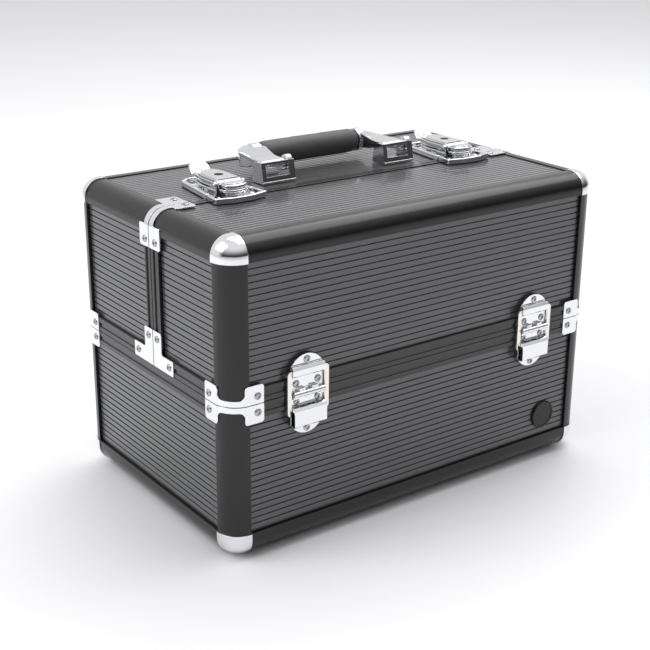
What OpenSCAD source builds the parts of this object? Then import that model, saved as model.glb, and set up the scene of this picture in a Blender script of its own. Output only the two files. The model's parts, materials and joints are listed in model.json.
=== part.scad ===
// Double-opening sewing box: a base with two lids that swing out to the front and to the rear,
// each carrying two cantilever trays. X runs along the length, the front is -Y, Z is up and
// the feet stand on Z = 0.

/* [Case] */
// Length of the case over its side faces
case_w = 360; // [350:1:370]
// Depth of the case over its front and rear faces
case_d = 226; // [224:1:230]
// Height of the lid tops above the floor
case_h = 247; // [246:1:250]
// Radius of the rounded edges and corner posts
edge_r = 17.5; // [17.5:0.5:18.5]
// Thickness of the walls without their lining
wall_t = 5.5; // [5.5:0.1:5.8]
// Thickness of the inner lining
lining_t = 1; // [0.8:0.1:1]
// Height of the rubber feet
foot_h = 3.5; // [3.5:0.5:5]

/* [Ribbed panels] */
// Distance from rib to rib
rib_pitch = 4.93; // [4:0.01:8]
// Depth of the grooves between the ribs
groove_d = 0.9; // [0.4:0.1:1.5]
// Width of the grooves at the surface
groove_w = 1.1; // [0.6:0.1:2]
// How far the panels sit behind the frames
panel_inset = 2.4; // [1.6:0.1:2.6]

/* [Hinges] */
// Distance of the two hinges of a lid from the middle
hinge_x = 113.5; // [95:0.5:125]
// Distance of the hinge pin outside the wall
pin_out = 3.9; // [3.9:0.05:4]
// Diameter of the hinge pins
pin_d = 2.4; // [2:0.1:2.6]
// Distance between the end bars of a stay ring
ring_l = 31.5; // [31:0.1:31.8]

/* [Trays] */
// Height of the upper tray pivots above the seam
pivot_v = 65; // [64:0.5:65]
// Distance of the upper tray pivots inside the wall
pivot_u = 52; // [51:0.5:52]
// Share of the arm length at which the lower trays ride
lower_share = 0.4; // [0.4:0.005:0.41]
// Wall thickness of the trays
tray_t = 2; // [1.6:0.1:2.2]
// Height of the lower trays
lower_tray_h = 33.5; // [26:0.5:34]

/* [Latches and handle] */
// Distance of the left latch from the middle
latch_left = 109.5; // [100:0.5:114]
// Distance of the right latch from the middle
latch_right = 118; // [112:0.5:119]
// Middle of the handle along the length
handle_x = 4; // [0:0.5:6]
// Half the distance between the handle brackets
handle_half = 60.5; // [59:0.5:62]
// Diameter of the grip
grip_d = 21.8; // [20:0.2:22.2]

/* [Hidden] */
$fn = 64;
e = 0.01;

hw = case_w / 2;
hd = case_d / 2;
pw = edge_r + 0.5;              // width of the posts and frames on each face
seam_z = 125;
seam_gap = 0.3;                 // half of the gap along the seam
base_top = seam_z - seam_gap;
lid_bot = seam_z + 0.3;
seam_frame_h = 11;
bot_z = foot_h;                 // underside of the case
bot_frame_top = bot_z + edge_r + 1;
top_r = 13.5;                   // rounding of the top and bottom frames in section
top_frame_bot = case_h - 17;
inner_floor = bot_z + 7.5;
inner_top = case_h - 7.5;
inner_r = edge_r - wall_t;
front_edge = -9;                // free edge of the front lid
rear_edge = 8;                  // free edge of the rear lid, seen from behind
front_split_w = 11;             // width of the front upright frame along the split
rear_split_w = 8.4;             // width of the rear one
gap = 0.5;                      // open joint between a panel and its frames
top_inset = 0.8;                // how far the top panels sit below the frames
cap_out = 1;                    // how far the corner caps stand proud
pin_z = seam_z + 0.3;           // height of the lid hinge axis
U = [2.4, 16.5];                // outer bar of a stay ring: out from the wall, above the pin
rivet_r = 2.9;

black = [0.10, 0.10, 0.11];
panel_c = [0.27, 0.27, 0.28];
frame_c = [0.18, 0.18, 0.19];
chrome = [0.86, 0.87, 0.88];
cloth_c = [0.09, 0.09, 0.10];
tray_c = [0.13, 0.13, 0.14];

// ---------- helpers ----------
module ext_x(len) { rotate([90, 0, 90]) linear_extrude(len) children(); }      // 2D (y, z), grows to +X
module ext_y(len) { rotate([90, 0, 0]) linear_extrude(len) children(); }       // 2D (x, z), grows to -Y
module both_x() { children(); mirror([1, 0, 0]) children(); }
module rear(on) { if (on) mirror([0, 1, 0]) children(); else children(); }

// Section of a ribbed panel: length s, thickness t, grooves on the far side
function rib_points(s, t) =
  let (n = floor((s - 2) / rib_pitch), m = (s - (n - 1) * rib_pitch) / 2)
  concat([[0, 0], [s, 0], [s, t]],
    [for (i = [n - 1 : -1 : 0]) for (p = [[groove_w / 2, 0], [groove_w / 2 - 0.25, -groove_d],
      [-groove_w / 2 + 0.25, -groove_d], [-groove_w / 2, 0]]) [m + i * rib_pitch + p[0], t + p[1]]],
    [[0, t]]);

// Prism with two rounded corners at y0 (and at y1 too when closed)
module plan(in, r, y1, closed) {
  x1 = hw - in;
  y0 = -hd + in;
  difference() {
    translate([-x1, y0]) square([2 * x1, y1 - y0]);
    for (sx = [-1, 1]) translate([sx * x1, y0]) corner_bit(r);
    if (closed) for (sx = [-1, 1]) translate([sx * x1, y1]) corner_bit(r);
  }
}
// What a rounded corner of radius r takes away, around the corner point
module corner_bit(r) {
  difference() {
    square(2 * r, center = true);
    for (a = [-1, 1], b = [-1, 1]) translate([a * r, b * r]) circle(r);
  }
}

// Section of a frame with one rounded edge: a from the face, z; rounding centre at (top_r, cz)
module edge_section(cz, z0, z1, cut_z0, cut_z1, up) {
  difference() {
    intersection() {
      translate([0, z0]) square([pw, z1 - z0]);
      union() {
        translate([top_r, cz]) circle(top_r);
        translate([top_r - e, z0]) square([pw, z1 - z0]);
        translate([0, up ? z0 : cz]) square([top_r, up ? cz - z0 : z1 - cz]);
      }
    }
    translate([wall_t, cut_z0]) square([pw, cut_z1 - cut_z0]);
  }
}

// Plan section of a corner post, corner at the origin, growing to +X and +Y
module post_section() {
  difference() {
    intersection() {
      square(pw);
      union() {
        translate([edge_r, edge_r]) circle(edge_r);
        translate([edge_r - e, 0]) square([1, pw]);
        translate([0, edge_r - e]) square([pw, 1]);
      }
    }
    translate([edge_r, edge_r]) circle(inner_r);
    translate([edge_r, wall_t]) square(pw);
    translate([wall_t, edge_r]) square(pw);
  }
}
module front_posts(z0, z1) {
  both_x() translate([-hw, -hd, z0]) linear_extrude(z1 - z0) post_section();
}

// Chrome corner cap: a drum round the post that rounds off from height cz, upwards or downwards
module cap_body(cz, h, up) {
  R = edge_r + cap_out;
  r = top_r + cap_out;
  translate([0, 0, cz]) mirror([0, 0, up ? 0 : 1]) {
    rotate_extrude() intersection() {
      square([R, r]);
      union() {
        translate([R - r, 0]) circle(r);
        square([R - r, r]);
      }
    }
    translate([0, 0, -h]) cylinder(r = R, h = h + e);
  }
}
module ball_corner(cz, z0, z1, cut_z0, cut_z1, up) {
  difference() {
    intersection() {
      translate([-hw + edge_r, -hd + edge_r, 0]) cap_body(cz, up ? cz - z0 : z1 - cz, up);
      translate([-hw - 3, -hd - 3, z0]) cube([pw + 3, pw + 3, z1 - z0]);
    }
    translate([-hw + edge_r, -hd + edge_r, cut_z0]) cylinder(r = inner_r, h = cut_z1 - cut_z0);
    translate([-hw + edge_r, -hd + wall_t, cut_z0]) cube([pw, pw, cut_z1 - cut_z0]);
    translate([-hw + wall_t, -hd + edge_r, cut_z0]) cube([pw, pw, cut_z1 - cut_z0]);
  }
}

// Blind rivet with a hollow centre, standing on z = 0
module rivet(r = rivet_r, h = 1.1) {
  rotate_extrude() polygon([[0, 0], [r, 0], [r * 0.94, h * 0.5], [r * 0.72, h * 0.9], [r * 0.55, h],
    [r * 0.45, h], [r * 0.4, h * 0.35], [0, h * 0.35]]);
}
module rivet_front(x, z, out, r = rivet_r) { translate([x, -hd - out, z]) rotate([90, 0, 0]) rivet(r); }
module rivet_side(y, z, out) { translate([-hw - out, y, z]) rotate([0, -90, 0]) rivet(); }

// Corner bracket along the seam: a band round the post with a riveted flange on each face
br_t = 1;
flange_w = 16;
flange_h = 14.4;
band_h = 4.4;
module corner_ring(h) {
  linear_extrude(h) {
    difference() {
      intersection() {
        translate([edge_r, edge_r]) circle(edge_r + br_t);
        translate([-2, -2]) square(edge_r + 2);
      }
      translate([edge_r, edge_r]) circle(edge_r);
    }
    translate([edge_r - e, -br_t]) square([12, br_t]);
    translate([-br_t, edge_r - e]) square([br_t, 12]);
  }
}
module flange_plate(up) {
  // in x and z, outer face at y = -br_t, from the post outwards
  translate([13.5, 0, 0]) ext_like() difference() {
    square([flange_w, flange_h]);
    for (x = [0, flange_w]) translate([x, up ? flange_h : 0]) corner_bit(2.4);
    translate([flange_w, up ? 0 : flange_h]) corner_bit(1.4);
  }
}
module ext_like() { rotate([90, 0, 0]) linear_extrude(br_t) children(); }      // 2D (x, z), y from 0 to -br_t
// Fillet of the band towards a flange, cut out of the band's own curve
module ring_fillet() {
  intersection() {
    linear_extrude(4) difference() {
      translate([edge_r, edge_r]) circle(edge_r + br_t);
      translate([edge_r, edge_r]) circle(edge_r);
    }
    translate([0, 9, 0]) rotate([90, 0, 0]) linear_extrude(12) polygon([[9.9, -e], [14, -e], [14, 3.2], [13.3, 2.9], [12.6, 1.5], [11.5, 0.5]]);
  }
}
module seam_bracket(up) {
  z0 = up ? lid_bot : base_top - flange_h;
  translate([-hw, -hd, up ? lid_bot + band_h : base_top - band_h]) mirror([0, 0, up ? 0 : 1]) {
    ring_fillet();
    mirror([1, -1, 0]) ring_fillet();
  }
  translate([-hw, -hd, 0]) {
    translate([0, 0, up ? lid_bot : base_top - band_h]) corner_ring(band_h);
    translate([0, 0, z0]) flange_plate(up);
    translate([0, 0, z0]) mirror([1, -1, 0]) flange_plate(up);
  }
}

// ---------- base ----------
module base_lining() color(cloth_c) difference() {
  translate([0, 0, inner_floor]) linear_extrude(base_top - 1 - inner_floor) plan(wall_t, inner_r, hd - wall_t, true);
  translate([0, 0, inner_floor + lining_t]) linear_extrude(200) plan(wall_t + lining_t, inner_r - lining_t, hd - wall_t - lining_t, true);
}
module base_floor() color(black)
  translate([-hw + pw, -hd + pw, bot_z + 0.6]) cube([case_w - 2 * pw, case_d - 2 * pw, inner_floor - bot_z - 0.6]);
module front_wall_panel(z0, z1)
  translate([-hw + pw + gap, -hd, z0 + gap]) ext_x(case_w - 2 * pw - 2 * gap)
    polygon([for (p = rib_points(z1 - z0 - 2 * gap, wall_t - panel_inset)) [wall_t - p[1], p[0]]]);
module base_front_panel() color(panel_c) front_wall_panel(bot_frame_top, base_top - seam_frame_h);
module base_rear_panel() color(panel_c) mirror([0, 1, 0]) front_wall_panel(bot_frame_top, base_top - seam_frame_h);
module side_wall_panel(z0, z1, y0, y1)
  both_x() translate([-hw, y1 - gap, z0 + gap]) ext_y(y1 - y0 - 2 * gap)
    polygon([for (p = rib_points(z1 - z0 - 2 * gap, wall_t - panel_inset)) [wall_t - p[1], p[0]]]);
module base_side_panels() color(panel_c) side_wall_panel(bot_frame_top, base_top - seam_frame_h, -hd + pw, hd - pw);
module base_corner_posts() color(frame_c) {
  front_posts(bot_frame_top, base_top);
  mirror([0, 1, 0]) front_posts(bot_frame_top, base_top);
}
// Section of a seam or split frame, w wide, with a shallow channel between two lips
module channel_section(w, lip, ch = 3.8) {
  polygon([[0, 0], [wall_t, 0], [wall_t, w], [0, w], [0, lip + ch], [0.9, lip + ch - 0.3], [0.9, lip + 0.3], [0, lip]]);
}
module seam_section(z0) { translate([0, z0]) channel_section(seam_frame_h, 3.4); }
module seam_bar_front(z0) translate([-hw + pw, 0, 0]) ext_x(case_w - 2 * pw) translate([-hd, 0]) seam_section(z0);
module seam_bars_side(z0, y0, y1) both_x() translate([0, y1, 0]) ext_y(y1 - y0) translate([-hw, 0]) seam_section(z0);
module base_seam_frame() color(frame_c) {
  for (m = [false, true]) rear(m) seam_bar_front(base_top - seam_frame_h);
  seam_bars_side(base_top - seam_frame_h, -hd + pw, hd - pw);
}
module base_bottom_frame() color(frame_c) {
  for (m = [false, true]) rear(m) translate([-hw + pw, 0, 0]) ext_x(case_w - 2 * pw) translate([-hd, 0])
    edge_section(bot_z + top_r, bot_z, bot_frame_top, inner_floor, 200, false);
  both_x() translate([0, hd - pw, 0]) ext_y(case_d - 2 * pw) translate([-hw, 0])
    edge_section(bot_z + top_r, bot_z, bot_frame_top, inner_floor, 200, false);
}
module base_corner_caps() color(chrome)
  for (m = [false, true]) rear(m) both_x() ball_corner(bot_z + top_r, 1, bot_frame_top, inner_floor, 200, false);
module base_seam_brackets() color(chrome) for (m = [false, true]) rear(m) both_x() seam_bracket(false);
foot_x = 144;
foot_y = 93;
module rubber_feet() color([0.05, 0.05, 0.05]) for (sx = [-1, 1], sy = [-1, 1]) translate([sx * foot_x, sy * foot_y, 0])
  rotate_extrude() polygon([[0, 0.8], [3.2, 0.8], [4, 0], [5.8, 0], [6.4, 0.5], [6.8, bot_z], [0, bot_z]]);
module round_badge() color([0.04, 0.04, 0.04]) translate([135.5, -hd + panel_inset, 40.5]) rotate([90, 0, 0])
  rotate_extrude() polygon([[0, 0], [12.2, 0], [12.2, 1.6], [11.4, 2.3], [10.2, 2.3], [9.6, 1.7], [0, 1.7]]);

// ---------- hinges ----------
leaf_w = 28;
barrel_r = 2.3;
ch_w = 28.5;
lch_z0 = pin_z - 24.6;          // lower channel, inside
lch_z1 = pin_z - 13;
module half_moon(w, h) {
  // a plate end: chord w wide, h high
  r = (w * w / 4 + h * h) / (2 * h);
  intersection() {
    translate([0, h - r]) circle(r);
    translate([-w / 2, 0]) square([w, h + 1]);
  }
}
module lower_leaf() {
  translate([0, -hd, 0]) {
    rotate([90, 0, 0]) linear_extrude(1.2) {
      translate([-leaf_w / 2, 100]) square([leaf_w, 24.4]);
      translate([0, 100 + e]) mirror([0, 1]) half_moon(27, 8);
    }
    translate([-11, 0, 97]) ext_x(22) translate([-1, 0]) square([panel_inset + 1 - 0.05, 15.5]);
    // channel for the ring
    translate([-ch_w / 2, 0, 0]) ext_x(ch_w) mirror([1, 0]) difference() {
      polygon([[1.2 - e, 116], [3, 116], [5.4, 115], [6.9, 113.2], [6.9, 101], [5.3, 99.6], [1.2 - e, 99.6]]);
      translate([1.2, lch_z0]) square([4.9, lch_z1 - lch_z0]);
    }
    // knuckles
    for (k = [[-13.5, -8.6], [-2.7, 2.7], [8.6, 13.5]]) translate([k[0], 0, 0]) ext_x(k[1] - k[0]) mirror([1, 0]) difference() {
      union() {
        translate([pin_out, pin_z]) circle(barrel_r);
        translate([0.3, pin_z - 3.8]) square([pin_out - 0.3, 3.4]);
      }
      translate([pin_out, pin_z]) circle(pin_d / 2 + 0.05);
    }
  }
}
module lower_hinge_leaves() color(chrome) for (m = [false, true]) rear(m) for (sx = [-1, 1]) translate([sx * hinge_x, 0, 0]) lower_leaf();
module hinge_pins() color([0.7, 0.7, 0.72]) for (m = [false, true]) rear(m) for (sx = [-1, 1])
  translate([sx * hinge_x - 14, -hd - pin_out, pin_z]) rotate([0, 90, 0]) cylinder(r = pin_d / 2, h = 28);
module upper_leaf() {
  translate([0, -hd, 0]) {
    rotate([90, 0, 0]) linear_extrude(1.2) {
      translate([-leaf_w / 2, pin_z + 0.4]) square([leaf_w, 146.4 - pin_z - 0.4]);
      translate([0, 146.4 - e]) half_moon(27, 7.8);
    }
    translate([-11, 0, 137.4]) ext_x(22) translate([-1, 0]) square([panel_inset + 1 - 0.05, 9]);
    translate([-ch_w / 2, 0, 0]) ext_x(ch_w) mirror([1, 0]) difference() {
      polygon([[1.2 - e, 138.6], [3.6, 138.6], [4.9, 139.8], [4.9, 144.2], [3.4, 146.4], [1.2 - e, 146.4]]);
      translate([U[0], pin_z + U[1]]) circle(1.17);
    }
    for (k = [[-8.4, -2.9], [2.9, 8.4]]) translate([k[0], 0, 0]) ext_x(k[1] - k[0]) mirror([1, 0]) difference() {
      union() {
        translate([pin_out, pin_z]) circle(barrel_r);
        translate([0.3, pin_z + 0.4]) square([pin_out - 0.3, 3.4]);
      }
      translate([pin_out, pin_z]) circle(pin_d / 2 + 0.05);
    }
  }
}
module front_hinge_upper_leaves() color(chrome) for (sx = [-1, 1]) translate([sx * hinge_x, 0, 0]) upper_leaf();
module rear_hinge_upper_leaves() color(chrome) mirror([0, 1, 0]) for (sx = [-1, 1]) translate([sx * hinge_x, 0, 0]) upper_leaf();
// Rectangular ring that links the two channels and holds the lid when it is open
module stay_ring() {
  w = 18.2;
  iw = 14.6;
  zt = pin_z + U[1];
  zb = zt - ring_l;
  translate([0, -hd - U[0], 0]) {
    rotate([90, 0, 0]) translate([0, 0, -1]) linear_extrude(2) difference() {
      translate([-w, zb - 1.8]) square([2 * w, ring_l + 3.6]);
      translate([-iw, zb - 5]) square([2 * iw, ring_l + 10]);
      for (sx = [-1, 1], z = [zb - 1.8, zt + 1.8]) translate([sx * w, z]) corner_bit(3);
    }
    for (z = [zb, zt]) translate([-iw - 1.5, 0, z]) rotate([0, 90, 0]) cylinder(r = 1.1, h = 2 * iw + 3);
  }
}
module front_stay_rings() color(chrome) for (sx = [-1, 1]) translate([sx * hinge_x, 0, 0]) stay_ring();
module rear_stay_rings() color(chrome) mirror([0, 1, 0]) for (sx = [-1, 1]) translate([sx * hinge_x, 0, 0]) stay_ring();

module base_rivets() color([0.78, 0.78, 0.79]) for (m = [false, true]) rear(m) {
  for (sx = [-1, 1]) {
    for (dx = [-9.3, 9.3]) rivet_front(sx * hinge_x + dx, 118.75, 1.2, 2.6);
    rivet_front(sx * hinge_x, 96, 1.2);
  }
  both_x() {
    rivet_front(-hw + 24.2, base_top - 6.2, br_t);
    rivet_side(-hd + 24.2, base_top - 6.2, br_t);
  }
}

// ---------- lids, modelled at the front; ed is the free edge ----------
module lid_lining(ed) color(cloth_c) difference() {
  translate([0, 0, lid_bot + 1]) linear_extrude(inner_top - lid_bot - 1) plan(wall_t, inner_r, ed, false);
  difference() {
    translate([0, 0, 0]) linear_extrude(inner_top - lining_t) plan(wall_t + lining_t, inner_r - lining_t, ed + 5, false);
  }
}
module lid_top_panel(ed) color(panel_c) {
  len = ed - 4 - (-hd + pw) - gap;
  t = case_h - top_inset - inner_top;
  translate([-hw + pw + gap, -hd + pw + gap, inner_top]) ext_x(case_w - 2 * pw - 2 * gap) polygon(rib_points(len, t));
}
module lid_face_panel() color(panel_c) front_wall_panel(lid_bot + seam_frame_h, top_frame_bot);
module lid_side_panels(ed, sw) color(panel_c) side_wall_panel(lid_bot + seam_frame_h, top_frame_bot, -hd + pw, ed - sw);
module lid_posts() color(frame_c) front_posts(lid_bot, top_frame_bot);
module lid_top_frame(ed) color(frame_c) {
  cz = case_h - top_r;
  translate([-hw + pw, 0, 0]) ext_x(case_w - 2 * pw) translate([-hd, 0]) edge_section(cz, top_frame_bot, case_h, 0, inner_top, true);
  both_x() translate([0, ed, 0]) ext_y(ed - (-hd + pw)) translate([-hw, 0]) edge_section(cz, top_frame_bot, case_h, 0, inner_top, true);
}
module lid_seam_frame(ed) color(frame_c) {
  seam_bar_front(lid_bot);
  seam_bars_side(lid_bot, -hd + pw, ed);
}
module lid_split_frame(ed, sw) color(frame_c) {
  both_x() translate([-hw, ed - sw, lid_bot + seam_frame_h]) linear_extrude(top_frame_bot - lid_bot - seam_frame_h)
    channel_section(sw, sw - 6.9);
  translate([-hw + pw, ed - 4, inner_top]) cube([case_w - 2 * pw, 4, case_h - inner_top]);
}
module lid_corner_caps() color(chrome) both_x() ball_corner(case_h - top_r, top_frame_bot, case_h + 2, 0, inner_top, true);
module lid_seam_brackets() color(chrome) both_x() seam_bracket(true);
// Mitred corner plate at the foot of the split and the strap over its top edge
module lid_split_brackets(ed) color(chrome) both_x() {
  w = 12;
  translate([-hw, 0, 0]) rotate([90, 0, -90]) linear_extrude(br_t) difference() {
    polygon([[-ed, lid_bot], [-ed + 29, lid_bot], [-ed + 29, lid_bot + w], [-ed + w + 1, lid_bot + w], [-ed + w, lid_bot + w + 1],
      [-ed + w, lid_bot + 29], [-ed, lid_bot + 29]]);
    translate([-ed + 29, lid_bot]) corner_bit(1.2);
    translate([-ed + w, lid_bot + 29]) corner_bit(1.5);
    translate([-ed + 29, lid_bot + w]) corner_bit(1.2);
  }
  // band over the rounded edge, side flange, top plate
  translate([0, ed, 0]) ext_y(6) translate([-hw + top_r, case_h - top_r]) {
    difference() {
      circle(top_r + br_t);
      circle(top_r);
      translate([0, -40]) square(80);
      translate([-40, -80]) square(80);
    }
    translate([-top_r - br_t, -14.7]) square([br_t, 14.7]);
    translate([0, top_r]) square([20, br_t]);
  }
  fw = ed < 0 ? 15.5 : 13;
  translate([-hw - br_t, 0, 0]) ext_x(br_t) difference() {
    translate([ed - fw, case_h - top_r - 14.7]) square([fw - 5, 17.3]);
    for (z = [0, 17.3]) translate([ed - fw, case_h - top_r - 14.7 + z]) corner_bit(2);
  }
  fd = ed < 0 ? 11.5 : 19;
  translate([-hw + top_r + 2.5, ed - fd, case_h]) difference() {
    cube([17.5, fd - 5, br_t]);
    for (x = [0, 17.5]) translate([x, 0, -1]) linear_extrude(3) corner_bit(1.6);
  }
}
module lid_rivets(ed) color([0.78, 0.78, 0.79]) {
  for (sx = [-1, 1]) {
    for (dx = [-9.6, 9.6]) rivet_front(sx * hinge_x + dx, 132.7, 1.2);
    rivet_front(sx * hinge_x, 150, 1.2);
  }
  both_x() {
    rivet_front(-hw + 24.2, lid_bot + 5.9, br_t);
    rivet_side(-hd + 24.2, lid_bot + 5.9, br_t);
    rivet_side(ed - 6, lid_bot + 23, br_t);
    rivet_side(ed - 23, lid_bot + 6, br_t);
    rivet_side(ed - (ed < 0 ? 8.4 : 5.5), 224.2, br_t);
    translate([-hw + 28, ed - (ed < 0 ? 4.2 : 11.5), case_h + br_t]) rivet();
  }
}
P = [-pivot_u, pin_z + pivot_v];                       // upper tray pivot on the lid: out from the wall, height
Hh = [pin_out, pin_z];                                 // lid hinge
B = [-36, pin_z - 5];                                  // arm pivot on the base
Q = P - (Hh - B);                                      // arm pivot on the upper tray
L1 = Hh + lower_share * (P - Hh);                      // lower tray pivot on the lid
L2 = B + lower_share * (Q - B);                        // lower tray pivot on the arm
stud_r = 2;
in_face = hw - wall_t - lining_t;
arm_x0 = in_face - 4.2;
arm_x1 = in_face - 1.8;
tray_hw = in_face - 6;
module stud(uv, x_in, head_r, foot_r, foot_x) {
  // shaft with a head at x_in and a round foot on the lining
  translate([0, -hd - uv[0], uv[1]]) rotate([0, 90, 0]) {
    translate([0, 0, foot_x - 1.5]) cylinder(r = foot_r, h = 1.5);
    translate([0, 0, x_in]) cylinder(r = stud_r, h = foot_x - x_in - 1);
    translate([0, 0, foot_x - 1]) cylinder(r = 1.8, h = in_face - foot_x + 1 - (foot_x < in_face ? 0.2 : 0));
    translate([0, 0, x_in - 1]) cylinder(r = head_r, h = 1 + e);
  }
}
module tray_pivots() color(chrome) both_x() {
  stud(P, tray_hw - tray_t - 0.4, 4, 6, in_face);
  stud(L1, tray_hw - tray_t - 0.4, 3, 4, in_face - 0.8);
}
module base_arm_pivots() color(chrome) for (m = [false, true]) rear(m) both_x() stud(B, arm_x0 - 0.4, 4, 6, in_face);

module front_lid_lining() lid_lining(front_edge);
module front_lid_top_panel() lid_top_panel(front_edge);
module front_lid_face_panel() lid_face_panel();
module front_lid_side_panels() lid_side_panels(front_edge, front_split_w);
module front_lid_posts() lid_posts();
module front_lid_top_frame() lid_top_frame(front_edge);
module front_lid_seam_frame() lid_seam_frame(front_edge);
module front_lid_split_frame() lid_split_frame(front_edge, front_split_w);
module front_lid_corner_caps() lid_corner_caps();
module front_lid_seam_brackets() lid_seam_brackets();
module front_lid_split_brackets() lid_split_brackets(front_edge);
module front_lid_rivets() lid_rivets(front_edge);
module front_tray_pivots() tray_pivots();
module rear_lid_lining() mirror([0, 1, 0]) lid_lining(rear_edge);
module rear_lid_top_panel() mirror([0, 1, 0]) lid_top_panel(rear_edge);
module rear_lid_face_panel() mirror([0, 1, 0]) lid_face_panel();
module rear_lid_side_panels() mirror([0, 1, 0]) lid_side_panels(rear_edge, rear_split_w);
module rear_lid_posts() mirror([0, 1, 0]) lid_posts();
module rear_lid_top_frame() mirror([0, 1, 0]) lid_top_frame(rear_edge);
module rear_lid_seam_frame() mirror([0, 1, 0]) lid_seam_frame(rear_edge);
module rear_lid_split_frame() mirror([0, 1, 0]) lid_split_frame(rear_edge, rear_split_w);
module rear_lid_corner_caps() mirror([0, 1, 0]) lid_corner_caps();
module rear_lid_seam_brackets() mirror([0, 1, 0]) lid_seam_brackets();
module rear_lid_split_brackets() mirror([0, 1, 0]) lid_split_brackets(rear_edge);
module rear_lid_rivets() mirror([0, 1, 0]) lid_rivets(rear_edge);
module rear_tray_pivots() mirror([0, 1, 0]) tray_pivots();

// ---------- trays and arms ----------
module tray_plan(y0, y1, in, r) {
  difference() {
    translate([-tray_hw + in, y0 + in]) square([2 * (tray_hw - in), y1 - y0 - 2 * in]);
    for (sx = [-1, 1], y = [y0 + in, y1 - in]) translate([sx * (tray_hw - in), y]) corner_bit(r);
  }
}
// u0 outer end, u1 inner end, z0 floor underside, height, partitions along x, holes
module tray(u0, u1, z0, h, cross, long_y, holes) color(tray_c) {
  y0 = -hd - u0;
  y1 = -hd - u1;
  difference() {
    translate([0, 0, z0]) linear_extrude(h) tray_plan(y0, y1, 0, 4);
    translate([0, 0, z0 + 1.5]) linear_extrude(h) difference() {
      tray_plan(y0, y1, tray_t, 2);
      for (x = cross) translate([x - 0.75, y0]) square([1.5, y1 - y0]);
      if (long_y != 0) translate([long_y[0], (y0 + y1) / 2 - 0.75]) square([long_y[1] - long_y[0], 1.5]);
    }
    // partitions are lower than the rim
    translate([0, 0, z0 + h - 6]) linear_extrude(10) tray_plan(y0, y1, tray_t, 2);
    for (q = holes) translate([-200, -hd - q[0], q[1]]) rotate([0, 90, 0]) cylinder(r = q[2], h = 400);
  }
}
up_z = pin_z + 52.5;
up_h = 36;
lo_z = pin_z + 16.6;
module upper_tray(inner) tray(-11, inner, up_z, up_h, [-84, 0, 84], [0, 84],
  [[P[0], P[1], stud_r + 0.06], [Q[0], Q[1], stud_r + 0.5]]);
module lower_tray(inner) tray(-12.1, inner, lo_z, lower_tray_h, [-56, 56], 0,
  [[L1[0], L1[1], stud_r + 0.06], [L2[0], L2[1], stud_r + 0.5]]);
module front_upper_tray() upper_tray(-100);
module front_lower_tray() lower_tray(-100);
module rear_upper_tray() mirror([0, 1, 0]) upper_tray(-116);
module rear_lower_tray() mirror([0, 1, 0]) lower_tray(-116);
arm_len = norm(Q - B);
arm_a = atan2(Q[1] - B[1], -(Q[0] - B[0]));
module arms() color(chrome) both_x() {
  translate([arm_x0, -hd - B[0], B[1]]) rotate([arm_a, 0, 0]) rotate([90, 0, 90]) linear_extrude(arm_x1 - arm_x0) difference() {
    union() {
      translate([0, -4]) square([arm_len, 8]);
      circle(5);
      translate([arm_len, 0]) circle(5);
      translate([arm_len * lower_share, 0]) circle(5);
    }
    circle(stud_r + 0.06);
  }
  for (q = [Q, L2]) translate([0, -hd - q[0], q[1]]) rotate([0, 90, 0]) {
    translate([0, 0, tray_hw - tray_t - 0.4]) cylinder(r = stud_r, h = arm_x0 - tray_hw + tray_t + 0.4 + e);
    translate([0, 0, tray_hw - tray_t - 1.4]) cylinder(r = 2.7, h = 1.01);
  }
}
module front_tray_arms() arms();
module rear_tray_arms() mirror([0, 1, 0]) arms();

// ---------- latches ----------
lt = case_h;                    // the latches stand on the lid tops
lever_y = -5.5;                 // lever hinge
lever_z = lt + 9.6;
module latch_strike() {
  // plate on the front lid with a rolled rim and the rounded catch tower
  difference() {
    translate([0, 0, lt]) linear_extrude(4) polygon([[-21.3, -9.4], [21.3, -9.4], [23, -20.6], [21, -22.6], [12, -25.4], [0, -26.8], [-12, -25.4], [-21, -22.6], [-23, -20.6]]);
    translate([0, 0, lt + 1.4]) linear_extrude(5) polygon([[-19.2, -4], [19.2, -4], [20.7, -19.6], [11.6, -23.1], [0, -24.4], [-11.6, -23.1], [-20.7, -19.6]]);
  }
  translate([0, 0, lt + 1.4 - e]) {
    linear_extrude(9.6) tower(8.2, 9.4, 14);
    translate([0, 0, 4]) linear_extrude(2.2) tower(11, 11.6, 15);
    translate([0, 0, 6.8]) linear_extrude(2.8) tower(9.8, 10.8, 15);
    translate([0, 0, 9.6 - e]) linear_extrude(1.1) tower(8.4, 9.2, 13);
  }
}
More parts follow.
